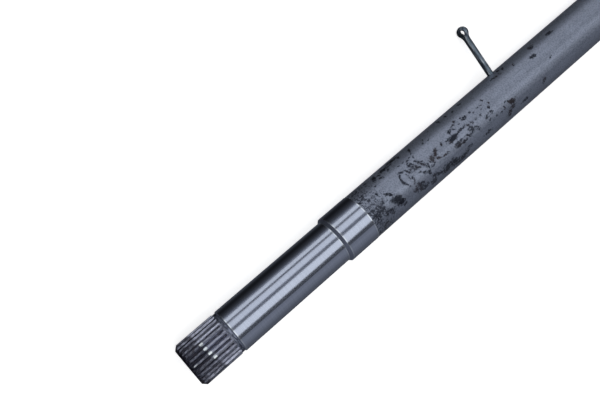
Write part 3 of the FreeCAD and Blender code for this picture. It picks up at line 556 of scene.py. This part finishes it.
def pin_steel(finish):
    """Soft steel wire, rolled half round and dull zinc plated.

    The eye sees a blue-grey sheen with light and dark marks that run along the wire. They are
    finer on the real one, and are drawn this coarse so that they show.
    """
    material, tree, shader, millimetres = new_material("pin_steel_dull_zinc")
    straight = add(tree, "ShaderNodeVectorRotate", {
        "Vector": millimetres, "Angle": PIN_LEAN}, rotation_type="X_AXIS").outputs[0]
    cloud = grain(tree, millimetres, (1, 1, 1), 1.5, detail=3)
    drawn = grain(tree, straight, (1, 9, 1), 1.6, detail=3, roughness=0.6)
    tone = blend_colour(tree, fade(tree, cloud, 0.3, 0.7), tuple(c * 0.85 for c in finish.zinc),
                        finish.zinc)
    tone = blend_colour(tree, fade(tree, drawn, 0.5, 0.64, 0.0, 0.7), tone, finish.bright_metal)
    tone = blend_colour(tree, fade(tree, drawn, 0.5, 0.36, 0.0, 0.6), tone, finish.scale)
    shader.inputs["Metallic"].default_value = 1.0
    tree.links.new(tone, shader.inputs["Base Color"])
    tree.links.new(fade(tree, drawn, 0.3, 0.7, 0.4, 0.52), shader.inputs["Roughness"])
    bump = add(tree, "ShaderNodeBump", {"Height": drawn, "Strength": 0.2, "Distance": 0.05 * MM})
    tree.links.new(bump.outputs[0], shader.inputs["Normal"])
    return material


def only_glossy(obj):
    """The object is seen by reflections alone, as a photographer's card outside the picture is."""
    obj.visible_camera = False
    obj.visible_diffuse = False
    obj.visible_shadow = False
    obj.visible_transmission = False
    obj.visible_volume_scatter = False


def link_mesh(name, shape, material):
    """A mesh object made from a bmesh."""
    mesh = bpy.data.meshes.new(name)
    shape.to_mesh(mesh)
    shape.free()
    mesh.materials.append(material)
    obj = bpy.data.objects.new(name, mesh)
    bpy.context.scene.collection.objects.link(obj)
    return obj


def flat_card(name, low, high, height, material):
    """A flat card between two corners, in metres."""
    shape = bmesh.new()
    bmesh.ops.create_grid(shape, x_segments=1, y_segments=1, size=0.5)
    size = Vector((high[0] - low[0], high[1] - low[1], 1))
    middle = Vector(((high[0] + low[0]) / 2, (high[1] + low[1]) / 2, height))
    bmesh.ops.scale(shape, vec=size, verts=shape.verts)
    bmesh.ops.translate(shape, vec=middle, verts=shape.verts)
    return link_mesh(name, shape, material)


def glow(name):
    """A cloth or card that only has the brightness that reflections see."""
    material = bpy.data.materials.new(name)
    material.use_nodes = True
    tree = material.node_tree
    tree.nodes.clear()
    light = add(tree, "ShaderNodeEmission", {"Color": (*SHADE_TINT, 1)})
    add(tree, "ShaderNodeOutputMaterial", {"Surface": light.outputs[0]})
    return material, tree, light


def table_card(name, first, last, height, half, stops):
    """A card on the table beside the shaft, seen by reflections, its brightness in steps."""
    material, tree, light = glow(name)
    place = add(tree, "ShaderNodeSeparateXYZ",
                {0: add(tree, "ShaderNodeTexCoord").outputs["Object"]})
    away = compute(tree, "ABSOLUTE", place.outputs["Y"])
    tree.links.new(ramp(tree, away, stops), light.inputs["Strength"])
    card = flat_card(name, (-half, first), (half, last), height, material)
    only_glossy(card)
    return card


def add_panel(name, first, last, brightness, studio):
    """A soft strip light along the shaft that fills those degrees about it."""
    middle = math.radians((first + last) / 2)
    half = math.radians((last - first) / 2)
    outward = Vector((0, math.cos(middle), math.sin(middle)))
    lamp = bpy.data.lights.new(name, "AREA")
    lamp.shape = "RECTANGLE"
    lamp.size = studio.panel_length
    lamp.size_y = 2 * studio.panel_distance * math.tan(half)
    lamp.energy = brightness * math.pi * lamp.size * lamp.size_y
    lamp.color = PANEL_TINT
    obj = bpy.data.objects.new(name, lamp)
    bpy.context.scene.collection.objects.link(obj)
    side = outward.cross(Vector((1, 0, 0)))
    turn = Matrix((Vector((1, 0, 0)), side, outward)).transposed().to_4x4()
    where = outward * studio.panel_distance + Vector((studio.panel_middle, 0, 0))
    obj.matrix_world = Matrix.Translation(where) @ turn
    obj.visible_camera = False


def cloth_round_studio():
    """A dark tube round the studio, which only reflections see, grey on the side behind."""
    material, tree, light = glow("studio_cloth")
    place = add(tree, "ShaderNodeSeparateXYZ",
                {0: add(tree, "ShaderNodeTexCoord").outputs["Object"]})
    turn = compute(tree, "DEGREES",
                   compute(tree, "ARCTAN2", place.outputs["Z"], place.outputs["Y"]))
    below_behind = compute(tree, "LESS_THAN", turn, -90.0)
    turn = compute(tree, "ADD", turn, compute(tree, "MULTIPLY", below_behind, 360.0))
    tree.links.new(ramp(tree, turn, CLOTH), light.inputs["Strength"])
    shape = bmesh.new()
    bmesh.ops.create_cone(shape, segments=96, radius1=CLOTH_RADIUS, radius2=CLOTH_RADIUS,
                          depth=2 * CLOTH_HALF_LENGTH, cap_ends=True,
                          matrix=Matrix.Rotation(math.radians(90), 4, "Y"))
    cloth = link_mesh("studio_cloth", shape, material)
    only_glossy(cloth)
    return cloth


def white_floor(studio):
    """Matt white board: white to the camera and to reflections, and it keeps the shadow."""
    material = bpy.data.materials.new("pale_floor")
    material.use_nodes = True
    tree = material.node_tree
    tree.nodes.clear()
    board = add(tree, "ShaderNodeBsdfDiffuse", {
        "Color": (FLOOR_WHITENESS, FLOOR_WHITENESS, FLOOR_WHITENESS, 1)})
    path = add(tree, "ShaderNodeLightPath").outputs
    seen = compute(tree, "MAXIMUM", path["Is Camera Ray"],
                   compute(tree, "MAXIMUM", path["Is Glossy Ray"], path["Is Transmission Ray"]))
    white = add(tree, "ShaderNodeEmission", {
        "Color": (1, 1, 1, 1), "Strength": compute(tree, "MULTIPLY", seen, FLOOR_GLOW)})
    both = add(tree, "ShaderNodeAddShader", {0: board.outputs[0], 1: white.outputs[0]})
    add(tree, "ShaderNodeOutputMaterial", {"Surface": both.outputs[0]})
    half = studio.floor_size / 2
    return flat_card("floor", (-half, -half), (half, half), FLOOR_HEIGHT, material)


def white_world():
    """White to the camera and to reflections, and a dim even light for the rest."""
    world = bpy.data.worlds.new("white_world")
    world.use_nodes = True
    tree = world.node_tree
    tree.nodes.clear()
    path = add(tree, "ShaderNodeLightPath").outputs
    seen = compute(tree, "MAXIMUM", path["Is Camera Ray"],
                   compute(tree, "MAXIMUM", path["Is Glossy Ray"], path["Is Transmission Ray"]))
    sky = add(tree, "ShaderNodeBackground", {
        "Color": (1, 1, 1, 1), "Strength": fade(tree, seen, 0.0, 1.0, DIM_SKY, 1.0)})
    add(tree, "ShaderNodeOutputWorld", {"Surface": sky.outputs[0]})
    bpy.context.scene.world = world


def add_camera(studio):
    """The camera of the photo: over the shaft, which recedes and climbs in the picture."""
    outward = Vector((0, math.cos(studio.around), math.sin(studio.around)))
    upward = Vector((0, math.sin(studio.around), -math.cos(studio.around)))
    level = Matrix((Vector((1, 0, 0)), upward, outward)).transposed()
    facing = (level @ Matrix.Rotation(-studio.recede, 3, "Y")
              @ Matrix.Rotation(TIPS_BACK, 3, "X"))
    target = Vector((AIMED_AT * MM, 0, 0))
    stand = Vector((-STANDS_LEFT * MM, STANDS_UP * MM, studio.distance))
    camera = bpy.data.cameras.new("camera")
    camera.lens = studio.lens
    camera.sensor_width = 36
    camera.clip_start = 0.01
    obj = bpy.data.objects.new("camera", camera)
    bpy.context.scene.collection.objects.link(obj)
    rolled = facing @ Matrix.Rotation(-studio.roll, 3, "Z")
    obj.matrix_world = Matrix.Translation(target + facing @ stand) @ rolled.to_4x4()
    bpy.context.scene.camera = obj


class AXLE_OT_finish_shaft(bpy.types.Operator):
    """Gives the shaft its ground, milled and rolled steel"""

    bl_idname = "axle.finish_shaft"
    bl_label = "Finish Shaft"

    def execute(self, context):
        SHAFT.material_slots[0].material = shaft_steel(context.scene.axle_finish)
        return {"FINISHED"}


class AXLE_OT_finish_pin(bpy.types.Operator):
    """Gives the split pin its dull zinc"""

    bl_idname = "axle.finish_pin"
    bl_label = "Finish Split Pin"

    def execute(self, context):
        PIN.material_slots[0].material = pin_steel(context.scene.axle_finish)
        return {"FINISHED"}


class AXLE_OT_studio(bpy.types.Operator):
    """Makes the floor, the panels, the cards and the camera"""

    bl_idname = "axle.studio"
    bl_label = "Make Studio"

    def execute(self, context):
        studio = context.scene.axle_studio
        for name, first, last, brightness in PANELS:
            add_panel(name, first, last, brightness, studio)
        half = studio.floor_size / 2
        height = FLOOR_HEIGHT + CARD_LIFT
        pin_side = table_card("table_pin_side", 0, half, height, half, TABLE)
        other_side = table_card("table_other_side", -half, 0, height, half, OTHER_TABLE)
        white_floor(studio)
        cloth_round_studio()
        white_world()
        add_camera(studio)
        context.scene.view_settings.view_transform = "Standard"
        return {"FINISHED"}


class AXLE_PT_sidebar(bpy.types.Panel):
    """Finishes and studio of the axle shaft"""

    bl_label = "Axle Shaft"
    bl_idname = "AXLE_PT_sidebar"
    bl_space_type = "VIEW_3D"
    bl_region_type = "UI"
    bl_category = "Axle"

    def draw(self, context):
        layout = self.layout
        for group in (context.scene.axle_finish, context.scene.axle_studio):
            column = layout.column()
            for name in group.__annotations__:
                column.prop(group, name)
        for operator in OPERATORS:
            layout.operator(operator.bl_idname)


OPERATORS = (AXLE_OT_finish_shaft, AXLE_OT_finish_pin, AXLE_OT_studio)
CLASSES = (AxleFinish, AxleStudio, *OPERATORS, AXLE_PT_sidebar)


def register():
    for cls in CLASSES:
        bpy.utils.register_class(cls)
    bpy.types.Scene.axle_finish = bpy.props.PointerProperty(type=AxleFinish)
    bpy.types.Scene.axle_studio = bpy.props.PointerProperty(type=AxleStudio)


def unregister():
    del bpy.types.Scene.axle_studio
    del bpy.types.Scene.axle_finish
    for cls in reversed(CLASSES):
        bpy.utils.unregister_class(cls)


def main():
    register()
    bpy.ops.axle.finish_shaft()
    bpy.ops.axle.finish_pin()
    bpy.ops.axle.studio()


if __name__ == "__main__":
    main()
